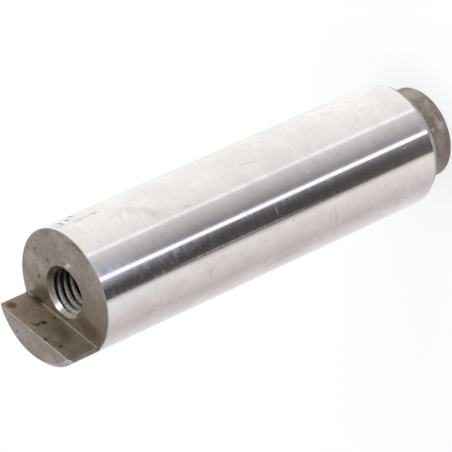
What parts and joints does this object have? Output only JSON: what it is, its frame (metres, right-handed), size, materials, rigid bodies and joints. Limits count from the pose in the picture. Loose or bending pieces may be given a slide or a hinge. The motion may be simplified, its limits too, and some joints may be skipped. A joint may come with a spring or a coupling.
{
  "type": "turned steel pin with half-tang",
  "caption": "Ground steel pin with a stepped-down spigot at one end and, at the other, a milled half-round tang beside a blind tapped hole.",
  "frame": {"origin": "centre of the spigot's end face, which the pin stands on", "axes": "+Z along the axis from the spigot to the tang; +Y from the axis towards the tang, whose milled flat faces -Y"},
  "size_m": [0.025, 0.025, 0.0969],
  "materials": {
    "steel": "mirror-ground journal, dull milled and turned ends"
  },
  "bodies": {
    "root": {"pin": "steel"}
  },
  "joints": []
}
